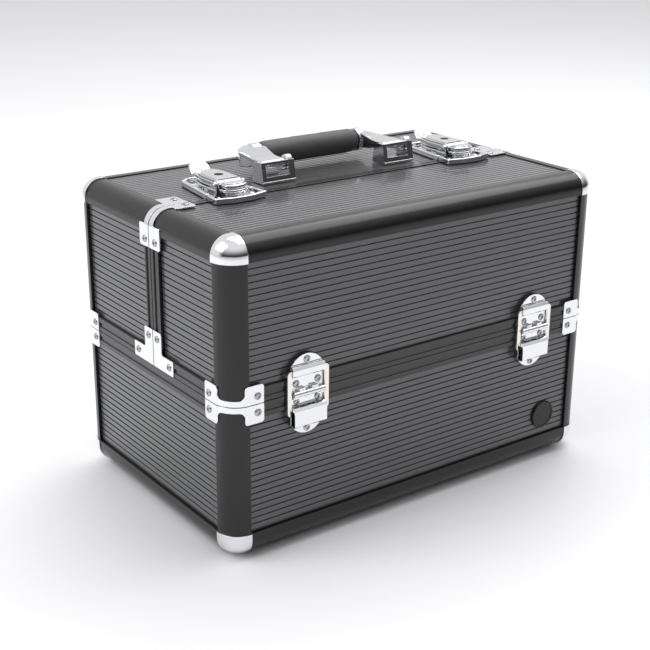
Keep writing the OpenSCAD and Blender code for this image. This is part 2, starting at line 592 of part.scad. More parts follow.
// Catch tower plan: flat at the back towards the lever, round at the front
module tower(w, d, r) {
  intersection() {
    translate([0, -9.2 - d + r]) circle(r);
    translate([-w, -40]) square([2 * w, 40 - 9.2]);
  }
}
module latch_base() {
  difference() {
    translate([0, 0, lt]) linear_extrude(4) polygon([[-21, -7.6], [21, -7.6], [17.6, 21], [15.2, 39], [13, 42.4], [7, 46], [-7, 46], [-13, 42.4], [-15.2, 39], [-17.6, 21]]);
    translate([0, 0, lt + 1.4]) linear_extrude(5) polygon([[-18.8, -12], [18.8, -12], [15.4, 21], [13.1, 38], [6.6, 43.8], [-6.6, 43.8], [-13.1, 38], [-15.4, 21]]);
    // joint line across the rim
    translate([-30, -0.4, lt + 1.4]) cube([60, 1.4, 4]);
  }
  // body under the lever
  difference() {
    translate([0, 0, lt + 1.4 - e]) linear_extrude(4.7) polygon([[-13, -1], [13, -1], [13, 16], [9, 30], [-9, 30], [-13, 16]]);
    for (x = [-13, 13]) translate([x - 1.5, 3, lt + 2.6]) cube([3, 12, 2.2]);
  }
  // cheeks of the lever hinge
  for (x = [-13.4, 11.6]) translate([x, 0, 0]) ext_x(1.8) {
    translate([lever_y, lever_z]) circle(2.1);
    polygon([[lever_y - 2.1, lever_z], [lever_y - 2.1, lt + 1.3], [4, lt + 1.3], [2.4, lt + 6], [lever_y + 2, lever_z]]);
  }
  translate([-13.4, lever_y, lever_z]) rotate([0, 90, 0]) cylinder(r = 1.1, h = 26.8);
}
module latch_lever() {
  difference() {
    union() {
      // hinge nose and flat body
      translate([-11, 0, 0]) ext_x(22) {
        translate([lever_y, lever_z]) circle(2.9);
        translate([lever_y, lever_z - 2.9]) square([18, 5.8]);
      }
      translate([0, 0, lever_z - 2.9]) linear_extrude(5.8) polygon([[-11, 8], [11, 8], [10.4, 14], [7.4, 27], [-7.4, 27], [-10.4, 14]]);
      // raised lock plate
      translate([0, 0, lever_z + 2.9 - e]) linear_extrude(0.9) polygon([[-8.2, -3.4], [8.2, -3.4], [8.6, 8], [7.4, 17], [5.4, 21.5], [-5.4, 21.5], [-7.4, 17], [-8.6, 8]]);
      // thumb tab, turned up at its end
      intersection() {
        translate([-10, 0, 0]) ext_x(20) polygon([[24, lever_z - 2.2], [33, lever_z - 1.4], [40, lever_z + 1], [45, lever_z + 4.6], [44.6, lever_z + 7.4],
          [43, lever_z + 7.8], [37, lever_z + 4.4], [31, lever_z + 2.6], [24, lever_z + 2.6]]);
        linear_extrude(400) polygon([[-6, 22], [6, 22], [6.4, 30], [8.4, 37], [8.4, 43], [5, 46], [-5, 46], [-8.4, 43], [-8.4, 37], [-6.4, 30]]);
      }
    }
    translate([-12, lever_y, lever_z]) rotate([0, 90, 0]) cylinder(r = 1.16, h = 24);
    // keyway
    translate([0, 9.5, lever_z]) cylinder(r = 2.6, h = 6);
    translate([-0.9, 9.5 - 4, lever_z + 2]) cube([1.8, 4, 4]);
  }
}
module front_latch_strikes() color(chrome) for (x = [-latch_left, latch_right]) translate([x, 0, 0]) latch_strike();
module rear_latch_bases() color(chrome) for (x = [-latch_left, latch_right]) translate([x, 0, 0]) latch_base();
module latch_lever_left() color(chrome) translate([-latch_left, 0, 0]) latch_lever();
module latch_lever_right() color(chrome) translate([latch_right, 0, 0]) latch_lever();

// ---------- handle ----------
hz = lt + 12;                   // handle pivot
hy = 15.4;
grip_y = 50;
grip_z = lt + 13.4;
module handle_bracket() {
  // leaning front web with its window, left cheek, right cheek with a tall ear, foot plate and pivot pin
  difference() {
    translate([-14.4, 0, 0]) ext_x(31) polygon([[4.8, lt], [6.6, lt], [9.9, lt + 16.6], [8.4, lt + 16.6]]);
    translate([-10.6, 0, lt + 5.4]) cube([22, 20, 9]);
  }
  translate([-14.4, 0, 0]) ext_x(2.4) {
    polygon([[4.8, lt], [22, lt], [20.2, hz + 1], [18, lt + 16], [15, lt + 16.6], [8.6, lt + 16.6]]);
  }
  translate([10.8, 0, 0]) ext_x(4.4) {
    polygon([[4.8, lt], [22, lt], [20.2, hz + 1], [16.4, lt + 18.6], [8.6, lt + 16.6]]);
    translate([12.8, lt + 15.4]) circle(4.5);
  }
  translate([-14.4, 4.8, lt]) cube([31, 17, 1.6]);
  translate([-14, hy, hz]) rotate([0, 90, 0]) cylinder(r = 1.96, h = 27);
}
// Hinge end of a handle casting: knuckles on the pin and a curled top plate
module handle_knuckles() {
  for (k = [[-11.6, 3.4], [7, 3.4]]) translate([k[0], 0, 0]) ext_x(k[1]) {
    translate([hy, hz]) circle(5.2);
    translate([hy, hz - 1.5]) square([12, 6.7]);
  }
  translate([-11.6, 0, 0]) ext_x(22) difference() {
    union() {
      intersection() {
        translate([hy, hz]) circle(5.2);
        translate([hy - 6, hz + 1.2]) square([6.1, 5]);
      }
      translate([hy, hz + 2]) square([12, 3.2]);
    }
    translate([hy, hz]) circle(3.3);
    translate([hy, hz]) square([14, 3.3]);
  }
}
module pin_hole() translate([-20, hy, hz]) rotate([0, 90, 0]) cylinder(r = 2.06, h = 40);
// Left casting: the tongue runs back from the knuckles and turns to the grip
module handle_end_left() {
  difference() {
    union() {
      handle_knuckles();
      translate([0, 0, hz - 2.5]) linear_extrude(7.7) polygon([[-11.6, 26], [10.4, 26], [11.6, 37], [14.4, 51], [14.4, 58], [9, 58.6], [2, 55.6], [-6, 50.5], [-12, 46], [-14.4, 41], [-13, 34]]);
      translate([0, 0, hz - 4.5]) linear_extrude(13.4) polygon([[-11.4, 35], [11.2, 35], [14.2, 50], [14.4, 60.6], [10, 60.2], [2, 57], [-6, 52], [-11.6, 46.5], [-13.6, 41]]);
      translate([2, grip_y, grip_z]) rotate([0, 90, 0]) cylinder(r = 9.4, h = 12.5);
    }
    pin_hole();
  }
}
// Right casting: the same hinge end, its body drawn in to the collar on the grip
module handle_end_right() {
  difference() {
    union() {
      handle_knuckles();
      translate([0, 0, hz - 2.5]) linear_extrude(7.7) polygon([[-11.6, 26], [8, 26], [2.5, 34], [-1, 40], [-3.4, 46], [-5, 54], [-12.4, 54], [-12.4, 34]]);
      translate([0, 0, hz - 4.5]) linear_extrude(13.4) polygon([[-8.4, 33], [1, 33], [-2, 39.4], [-4.4, 46], [-5.6, 55], [-8.4, 55]]);
      translate([-9, grip_y, grip_z]) rotate([0, 90, 0]) cylinder(r = 7.4, h = 5.5);
      translate([-13.5, grip_y, grip_z]) rotate([0, 90, 0]) cylinder(r = 9.8, h = 6.5);
    }
    pin_hole();
  }
}
module handle_brackets() color(chrome) for (s = [-1, 1]) translate([handle_x + s * handle_half, 0, 0]) handle_bracket();
module handle_ends() color(chrome) {
  translate([handle_x - handle_half, 0, 0]) handle_end_left();
  translate([handle_x + handle_half, 0, 0]) handle_end_right();
}
module handle_grip() color(black) {
  g0 = handle_x - handle_half + 14.5;
  g1 = handle_x + handle_half - 13.5;
  translate([g0, grip_y, grip_z]) rotate([0, 90, 0]) cylinder(r = grip_d / 2, h = g1 - g0);
}

base_lining();
base_floor();
base_front_panel();
base_rear_panel();
base_side_panels();
base_corner_posts();
base_seam_frame();
base_bottom_frame();
base_corner_caps();
base_seam_brackets();
rubber_feet();
lower_hinge_leaves();
hinge_pins();
round_badge();
base_rivets();
base_arm_pivots();
front_lid_lining();
front_lid_top_panel();
front_lid_face_panel();
front_lid_side_panels();
front_lid_posts();
front_lid_top_frame();
front_lid_seam_frame();
front_lid_split_frame();
front_lid_corner_caps();
front_lid_seam_brackets();
front_lid_split_brackets();
front_hinge_upper_leaves();
front_lid_rivets();
front_latch_strikes();
front_tray_pivots();
rear_lid_lining();
rear_lid_top_panel();
rear_lid_face_panel();
rear_lid_side_panels();
rear_lid_posts();
rear_lid_top_frame();
rear_lid_seam_frame();
rear_lid_split_frame();
rear_lid_corner_caps();
rear_lid_seam_brackets();
rear_lid_split_brackets();
rear_hinge_upper_leaves();
rear_lid_rivets();
rear_latch_bases();
rear_tray_pivots();
handle_brackets();
front_stay_rings();
rear_stay_rings();
front_upper_tray();
front_lower_tray();
rear_upper_tray();
rear_lower_tray();
front_tray_arms();
rear_tray_arms();
latch_lever_left();
latch_lever_right();
handle_ends();
handle_grip();
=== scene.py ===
import math
import random

import bpy
import bmesh
from mathutils import Matrix, Vector, noise
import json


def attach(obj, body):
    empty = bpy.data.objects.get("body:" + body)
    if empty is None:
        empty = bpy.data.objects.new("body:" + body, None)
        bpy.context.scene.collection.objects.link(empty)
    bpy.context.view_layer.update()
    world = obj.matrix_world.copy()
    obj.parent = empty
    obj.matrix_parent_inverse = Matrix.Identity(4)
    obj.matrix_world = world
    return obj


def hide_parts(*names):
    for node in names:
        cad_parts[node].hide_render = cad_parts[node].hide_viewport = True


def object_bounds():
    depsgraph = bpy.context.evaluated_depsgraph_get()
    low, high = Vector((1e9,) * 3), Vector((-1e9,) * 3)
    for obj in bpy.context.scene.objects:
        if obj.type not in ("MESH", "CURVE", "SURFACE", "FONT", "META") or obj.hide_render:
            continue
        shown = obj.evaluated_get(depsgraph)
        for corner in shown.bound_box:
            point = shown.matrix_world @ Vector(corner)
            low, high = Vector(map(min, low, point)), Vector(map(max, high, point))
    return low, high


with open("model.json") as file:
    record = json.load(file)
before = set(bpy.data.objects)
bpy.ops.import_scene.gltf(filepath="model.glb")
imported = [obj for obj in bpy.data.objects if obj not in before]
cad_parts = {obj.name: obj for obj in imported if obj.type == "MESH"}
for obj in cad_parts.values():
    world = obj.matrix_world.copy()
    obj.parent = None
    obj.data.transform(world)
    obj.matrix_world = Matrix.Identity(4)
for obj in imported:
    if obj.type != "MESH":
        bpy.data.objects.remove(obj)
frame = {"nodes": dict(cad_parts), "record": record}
CAD_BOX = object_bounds()
NODES = frame["nodes"]
SCENE = bpy.context.scene
MM = 0.001
WORLD = 0.87
FRONT = 0.94                    # how much of the surrounding light is missing low in front of the box

# ------------------------------------------------------------------ camera
AZ, EL, ROLL = math.radians(-36.1687), math.radians(20.3634), math.radians(0.41657)
fwd = Vector((-math.sin(AZ) * math.cos(EL), math.cos(AZ) * math.cos(EL), -math.sin(EL)))
rgt = Vector((math.cos(AZ), math.sin(AZ), 0.0))
upv = rgt.cross(fwd)
r2 = rgt * math.cos(ROLL) + upv * math.sin(ROLL)
u2 = upv * math.cos(ROLL) - rgt * math.sin(ROLL)
cam_data = bpy.data.cameras.new("camera")
cam_data.lens = 71.38
cam_data.sensor_width = 36.0
cam_data.clip_end = 60.0
cam = bpy.data.objects.new("camera", cam_data)
SCENE.collection.objects.link(cam)
m = Matrix.Identity(4)
for i in range(3):
    m[i][0], m[i][1], m[i][2] = r2[i], u2[i], -fwd[i]
m[0][3], m[1][3], m[2][3] = -0.61128, -0.81685, 0.49548
cam.matrix_world = m
SCENE.camera = cam
SCENE.view_settings.view_transform = "Standard"
SCENE.view_settings.look = "None"


# ------------------------------------------------------------------ materials
class Tree:
    """A small helper that adds shader nodes one after the other."""

    def __init__(self, name):
        self.mat = bpy.data.materials.new(name)
        self.mat.use_nodes = True
        self.t = self.mat.node_tree
        self.t.nodes.clear()
        self.out = self.t.nodes.new("ShaderNodeOutputMaterial")
        self.bsdf = self.t.nodes.new("ShaderNodeBsdfPrincipled")
        self.t.links.new(self.bsdf.outputs[0], self.out.inputs[0])
        self.co = self.t.nodes.new("ShaderNodeTexCoord").outputs["Object"]

    def n(self, kind, **kw):
        node = self.t.nodes.new(kind)
        for k, v in kw.items():
            setattr(node, k, v)
        return node

    def link(self, a, b):
        self.t.links.new(a, b)

    def set(self, **kw):
        for k, v in kw.items():
            self.bsdf.inputs[k.replace("_", " ")].default_value = v
        return self

    def mapped(self, scale=(1, 1, 1), rotation=(0, 0, 0)):
        mp = self.n("ShaderNodeMapping")
        self.link(self.co, mp.inputs["Vector"])
        mp.inputs["Scale"].default_value = scale
        mp.inputs["Rotation"].default_value = rotation
        return mp.outputs[0]

    def noise(self, scale, detail=3.0, rough=0.55, vec=None, distortion=0.0):
        nz = self.n("ShaderNodeTexNoise")
        self.link(vec if vec is not None else self.co, nz.inputs["Vector"])
        nz.inputs["Scale"].default_value = scale
        nz.inputs["Detail"].default_value = detail
        nz.inputs["Roughness"].default_value = rough
        nz.inputs["Distortion"].default_value = distortion
        return nz.outputs["Fac"]

    def voronoi(self, scale, feature="F1", vec=None, out="Distance"):
        vz = self.n("ShaderNodeTexVoronoi", feature=feature)
        self.link(vec if vec is not None else self.co, vz.inputs["Vector"])
        vz.inputs["Scale"].default_value = scale
        return vz.outputs[out]

    def ramp(self, fac, stops):
        r = self.n("ShaderNodeValToRGB")
        self.link(fac, r.inputs[0])
        els = r.color_ramp.elements
        while len(els) < len(stops):
            els.new(0.5)
        for e, (p, c) in zip(els, stops):
            e.position = p
            e.color = c if hasattr(c, "__len__") else (c, c, c, 1.0)
        return r.outputs[0]

    def rng(self, fac, lo, hi, a=0.0, b=1.0):
        r = self.n("ShaderNodeMapRange")
        self.link(fac, r.inputs["Value"])
        for k, v in (("From Min", a), ("From Max", b), ("To Min", lo), ("To Max", hi)):
            r.inputs[k].default_value = v
        return r.outputs[0]

    def math(self, op, a, b=0.0):
        mt = self.n("ShaderNodeMath", operation=op)
        for i, v in enumerate((a, b)):
            if hasattr(v, "links"):
                self.link(v, mt.inputs[i])
            else:
                mt.inputs[i].default_value = v
        return mt.outputs[0]

    def mix(self, fac, a, b, blend="MIX"):
        mx = self.n("ShaderNodeMix", data_type="RGBA", blend_type=blend)
        for i, v in ((0, fac), (6, a), (7, b)):
            if hasattr(v, "links"):
                self.link(v, mx.inputs[i])
            elif i == 0:
                mx.inputs[0].default_value = v
            else:
                mx.inputs[i].default_value = v if len(v) == 4 else (*v, 1.0)
        return mx.outputs[2]

    def edge(self, radius=0.0006, lo=0.0, hi=0.35):
        """1 on worn edges, 0 on the faces: how far the rounded normal leans from the true one."""
        bv = self.n("ShaderNodeBevel")
        bv.samples = 6
        bv.inputs["Radius"].default_value = radius
        geo = self.n("ShaderNodeNewGeometry")
        dot = self.n("ShaderNodeVectorMath", operation="DOT_PRODUCT")
        self.link(bv.outputs[0], dot.inputs[0])
        self.link(geo.outputs["Normal"], dot.inputs[1])
        return self.rng(dot.outputs["Value"], hi, lo, 0.75, 0.995)

    def round_edges(self, radius):
        bv = self.n("ShaderNodeBevel")
        bv.samples = 6
        bv.inputs["Radius"].default_value = radius
        return bv.outputs[0]

    def bump(self, height, strength=0.3, distance=0.0005, normal=None):
        b = self.n("ShaderNodeBump")
        self.link(height, b.inputs["Height"])
        b.inputs["Strength"].default_value = strength
        b.inputs["Distance"].default_value = distance
        if normal is not None:
            self.link(normal, b.inputs["Normal"])
        return b.outputs[0]

    def base(self, sock):
        self.link(sock, self.bsdf.inputs["Base Color"])
        return self

    def rough(self, sock):
        self.link(sock, self.bsdf.inputs["Roughness"])
        return self

    def normal(self, sock):
        self.link(sock, self.bsdf.inputs["Normal"])
        return self


def g(v, a=1.0):
    return (v, v, v * 1.03, a)


def make_panel(name, axis, first):
    """Black anodised ribbed aluminium: two fine rolled lines between the grooves, very fine grain, rubbed rib edges;
    painted shade in the grooves and the fine lines.
    """
    t = Tree(name).set(Metallic=0.5, Specular_IOR_Level=0.5, Coat_Weight=0.6, Coat_Roughness=0.08)
    fine = t.noise(2600.0, 2.0, 0.6)
    streak = t.noise(60.0, 3.0, 0.6, t.mapped((0.25, 0.25, 22.0)))
    cloud = t.noise(9.0, 4.0, 0.6)
    sep = t.n("ShaderNodeSeparateXYZ")
    t.link(t.co, sep.inputs[0])
    along = t.math("DIVIDE", t.math("SUBTRACT", sep.outputs[axis], first * MM), 4.93 * MM)
    wave = t.math("COSINE", t.math("MULTIPLY", along, 6.0 * math.pi))
    line = t.rng(wave, 0.0, 1.0, 0.55, 1.0)
    groove_shade = t.rng(t.math("COSINE", t.math("MULTIPLY", along, 2.0 * math.pi)), 0.0, 1.0, 0.62, 0.90)
    col = t.mix(cloud, g(0.082), g(0.104))
    col = t.mix(t.rng(fine, 0.0, 0.22), col, g(0.15))
    # painted shade: the fine rolled lines and the grooves are darkened in colour
    col = t.mix(t.math("MULTIPLY", line, 0.45), col, g(0.045))
    col = t.mix(t.math("MULTIPLY", groove_shade, 0.75), col, g(0.022))
    col = t.mix(t.edge(0.0005), col, g(0.24))
    t.base(col)
    t.rough(t.math("ADD", t.rng(fine, 0.30, 0.42), t.rng(cloud, -0.03, 0.03)))
    h = t.math("ADD", fine, t.math("MULTIPLY", streak, 0.4))
    t.normal(t.bump(t.math("SUBTRACT", 1.0, line), 0.35, 0.00008, t.bump(h, 0.22, 0.00006, t.round_edges(0.00025))))
    return t.mat


def make_frame(name="satin_black_profile", lo=0.004, hi=0.007):
    """Satin black extruded profile: smooth coat with a faint orange peel and paler rubbed corners."""
    t = Tree(name).set(Metallic=0.0, Specular_IOR_Level=0.46, Coat_Weight=0.05, Coat_Roughness=0.2)
    fine = t.noise(1800.0, 2.0, 0.6)
    peel = t.noise(260.0, 2.0, 0.5)
    cloud = t.noise(7.0, 4.0, 0.6)
    col = t.mix(cloud, g(lo), g(hi))
    col = t.mix(t.rng(fine, 0.0, 0.12), col, g(0.018))
    col = t.mix(t.edge(0.0005, 0.0, 0.25), col, g(0.06))
    t.base(col)
    t.rough(t.math("ADD", t.rng(peel, 0.22, 0.29), t.rng(cloud, -0.02, 0.02)))
    t.normal(t.bump(t.math("ADD", peel, t.math("MULTIPLY", fine, 0.3)), 0.12, 0.0001, t.round_edges(0.0004)))
    return t.mat


def make_chrome(name="chrome", rough=0.08, tint=0.87, wobble=0.06, warm=(1.0, 1.005, 1.02)):
    """Bright chrome plate: slight casting wobble and darker hairline scuffs."""
    t = Tree(name).set(Metallic=1.0)
    wob = t.noise(90.0, 2.0, 0.5)
    scuff = t.noise(700.0, 4.0, 0.7, t.mapped((1.0, 1.0, 6.0), (0.6, 0.2, 0.9)))
    cloud = t.noise(40.0, 3.0, 0.6)
    col = t.mix(cloud, tuple(tint * w for w in warm), tuple(tint * w * 0.935 for w in warm))
    col = t.mix(t.rng(scuff, 0.0, 0.10, 0.45, 0.75), col, g(tint * 0.55))
    t.base(col)
    t.rough(t.math("ADD", t.rng(scuff, rough - 0.03, rough + 0.07, 0.3, 0.8), t.rng(cloud, -0.02, 0.03)))
    t.normal(t.bump(wob, wobble, 0.0004, t.round_edges(0.0004)))
    return t.mat


def make_steel():
    """Bright steel rivet: finely turned, with a faint cloudy tone."""
    t = Tree("rivet_steel").set(Metallic=1.0)
    fine = t.noise(3500.0, 2.0, 0.6)
    cloud = t.noise(300.0, 3.0, 0.6)
    t.base(t.mix(cloud, g(0.52), g(0.36)))
    t.rough(t.rng(fine, 0.14, 0.26))
    t.normal(t.bump(fine, 0.10, 0.00004, t.round_edges(0.0002)))
    return t.mat


def make_strip():
    """Rolled steel strip of the tray arms: long brushed grain."""
    t = Tree("rolled_strip").set(Metallic=1.0)
    grain = t.noise(500.0, 4.0, 0.7, t.mapped((1.0, 14.0, 1.0), (0.9, 0.0, 0.0)))
    cloud = t.noise(30.0, 3.0, 0.6)
    t.base(t.mix(cloud, g(0.62), g(0.48)))
    t.rough(t.rng(grain, 0.20, 0.36))
    t.normal(t.bump(grain, 0.15, 0.00008, t.round_edges(0.0003)))
    return t.mat


def make_rubber():
    t = Tree("foot_rubber").set(Specular_IOR_Level=0.35)
    fine = t.noise(1500.0, 3.0, 0.6)
    t.base(t.mix(fine, g(0.012), g(0.028)))
    t.rough(t.rng(fine, 0.62, 0.80))
    t.normal(t.bump(fine, 0.3, 0.0001, t.round_edges(0.0003)))
    return t.mat


def make_leather():
    """Grip cover: soft black leather-cloth with a fine pebble, creases and a dull sheen."""
    t = Tree("grip_leather").set(Specular_IOR_Level=0.5, Sheen_Weight=0.25, Sheen_Roughness=0.4, Coat_Weight=0.1, Coat_Roughness=0.4)
    peb = t.voronoi(1300.0)
    peb2 = t.noise(900.0, 4.0, 0.6)
    fold = t.noise(70.0, 4.0, 0.6, t.mapped((2.2, 1.0, 1.0)))
    col = t.mix(peb2, g(0.046), g(0.070))
    col = t.mix(t.rng(fold, 0.0, 0.35, 0.55, 0.8), col, g(0.065))
    t.base(col)
    t.rough(t.math("ADD", t.rng(peb, 0.44, 0.60, 0.0, 0.7), t.rng(fold, -0.04, 0.06)))
    h = t.math("ADD", t.math("MULTIPLY", peb, 0.5), t.math("MULTIPLY", peb2, 0.4))
    t.normal(t.bump(fold, 0.25, 0.0008, t.bump(h, 0.35, 0.00018)))
    return t.mat


def make_tray():
    """Tray plastic: black, covered with a small leather-like grain."""
    t = Tree("tray_plastic").set(Specular_IOR_Level=0.45)
    peb = t.voronoi(900.0)
    cloud = t.noise(20.0, 4.0, 0.6)
    col = t.mix(cloud, g(0.022), g(0.034))
    col = t.mix(t.edge(0.0006, 0.0, 0.3), col, g(0.09))
    t.base(col)
    t.rough(t.rng(peb, 0.38, 0.56, 0.0, 0.7))
    t.normal(t.bump(peb, 0.30, 0.00012, t.round_edges(0.0004)))
    return t.mat


def make_cloth(name="flock_lining", lo=0.010, hi=0.022):
    """Flocked lining cloth: dense short nap with a soft sheen."""
    t = Tree(name).set(Specular_IOR_Level=0.2, Sheen_Weight=0.6, Sheen_Roughness=0.35)
    nap = t.noise(4200.0, 3.0, 0.7)
    weave = t.voronoi(1600.0)
    cloud = t.noise(24.0, 4.0, 0.65)
    col = t.mix(cloud, g(lo), g(hi))
    col = t.mix(t.rng(nap, 0.0, 0.5, 0.45, 0.8), col, g(hi * 2.2))
    t.base(col)
    t.rough(t.rng(nap, 0.78, 0.95))
    t.normal(t.bump(t.math("ADD", nap, t.math("MULTIPLY", weave, 0.6)), 0.5, 0.00015))
    return t.mat


def make_board():
    t = Tree("base_board").set(Specular_IOR_Level=0.4)
    peb = t.voronoi(500.0)
    fine = t.noise(1400.0, 3.0, 0.6)
    t.base(t.mix(fine, g(0.018), g(0.034)))
    t.rough(t.rng(peb, 0.50, 0.66, 0.0, 0.7))
    t.normal(t.bump(peb, 0.3, 0.0002))
    return t.mat


def make_badge():
    t = Tree("badge_enamel").set(Specular_IOR_Level=0.35, Coat_Weight=0.1, Coat_Roughness=0.15)
    fine = t.noise(700.0, 3.0, 0.6)
    t.base(t.mix(fine, g(0.004), g(0.009)))
    t.rough(t.rng(fine, 0.22, 0.34))
    t.normal(t.bump(fine, 0.08, 0.0001, t.round_edges(0.0003)))
    return t.mat


# painted shade: the lock face and its slit are near-black to stand for the shaded keyhole
def make_lock_painted_shade():
    t = Tree("lock_barrel_painted_shade").set(Specular_IOR_Level=0.2)
    fine = t.noise(3000.0, 2.0, 0.6)
    t.base(t.mix(fine, g(0.006), g(0.016)))
    t.rough(t.rng(fine, 0.50, 0.65))
    t.normal(t.bump(fine, 0.1, 0.00004))
    return t.mat


PANEL = make_panel("ribbed_base", 2, 28.41)
PANELS = {"base": PANEL, "lid": make_panel("ribbed_lid", 2, 141.245), "front_top": make_panel("ribbed_front_top", 1, -90.725),
          "rear_top": make_panel("ribbed_rear_top", 1, 89.62)}
# painted light: the seam profiles get the frame material made lighter, for the highlight along the seam channel
FRAME, CHROME, SEAM_PAINTED_LIGHT = make_frame(), make_chrome(), make_frame("satin_seam_profile_painted_light", 0.034, 0.042)
STEEL, STRIP, RUBBER, LEATHER = make_steel(), make_strip(), make_rubber(), make_leather()
TRAY, CLOTH, BOARD, BADGE = make_tray(), make_cloth(), make_board(), make_badge()
CAST = make_chrome("cast_chrome", 0.09, 0.76, 0.08)
KEYHOLE_PAINTED_SHADE = make_lock_painted_shade()
RING = make_chrome("ring_nickel", 0.12, 0.88, 0.05, (1.0, 0.955, 0.885))
BY_SLOT = {"ribbed_panel": PANEL, "frame": FRAME, "chrome_hardware": CHROME, "rivet_steel": STEEL,
           "arm_steel": STRIP, "foot_rubber": RUBBER, "grip": LEATHER, "tray": TRAY, "lining": CLOTH,
           "floor_panel": BOARD, "badge": BADGE}
slot_of = {s["node"]: s["material_slot"] for s in frame["record"]["subparts"]}
for name, ob in NODES.items():
    mat = BY_SLOT[slot_of[name]]
    if name in ("latch_lever_left", "latch_lever_right", "front_latch_strikes", "rear_latch_bases", "handle_ends", "handle_brackets"):
        mat = CAST
    if "stay_rings" in name:
        mat = RING
    # seam frames take the lighter copy of the frame material: painted light
    if "seam_frame" in name:
        mat = SEAM_PAINTED_LIGHT
    if mat is PANEL:
        mat = PANELS["base" if name.startswith("base") else name.split("_")[0] + "_top" if "top_panel" in name else "lid"]
    ob.data.materials.clear()
    ob.data.materials.append(mat)
    for p in ob.data.polygons:
        p.material_index = 0


# ------------------------------------------------------------------ mesh helpers
def link(ob):
    SCENE.collection.objects.link(ob)
    return ob


def mesh_object(name, verts, faces, mat=None, smooth=False):
    me = bpy.data.meshes.new(name)
    me.from_pydata([tuple(v) for v in verts], [], faces)
    me.update()
    if mat:
        me.materials.append(mat)
    if smooth:
        me.polygons.foreach_set("use_smooth", [True] * len(me.polygons))
    return link(bpy.data.objects.new(name, me))


